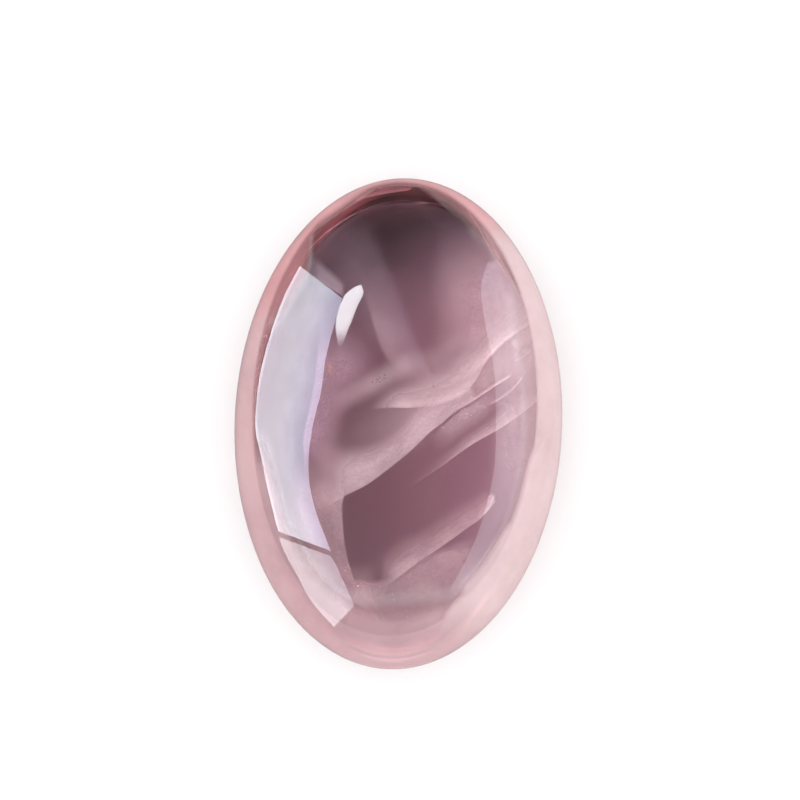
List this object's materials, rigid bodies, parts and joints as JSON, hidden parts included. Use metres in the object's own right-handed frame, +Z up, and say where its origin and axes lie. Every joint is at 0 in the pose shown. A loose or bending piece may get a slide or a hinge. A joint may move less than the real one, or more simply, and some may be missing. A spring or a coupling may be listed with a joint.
{
  "type": "palm stone",
  "caption": "Polished oval rose quartz palm stone, crowned on both sides, that rests on a small flat spot.",
  "frame": {"origin": "centre of the small flat spot that the stone rests on, below the middle of its oval", "axes": "+Z up from the flat spot to the crown, +Y along the oval's long axis, +X across it"},
  "size_m": [0.04, 0.06, 0.0227],
  "materials": {
    "rose_quartz": "polished"
  },
  "bodies": {
    "root": {"palm_stone": "rose_quartz"}
  },
  "joints": []
}
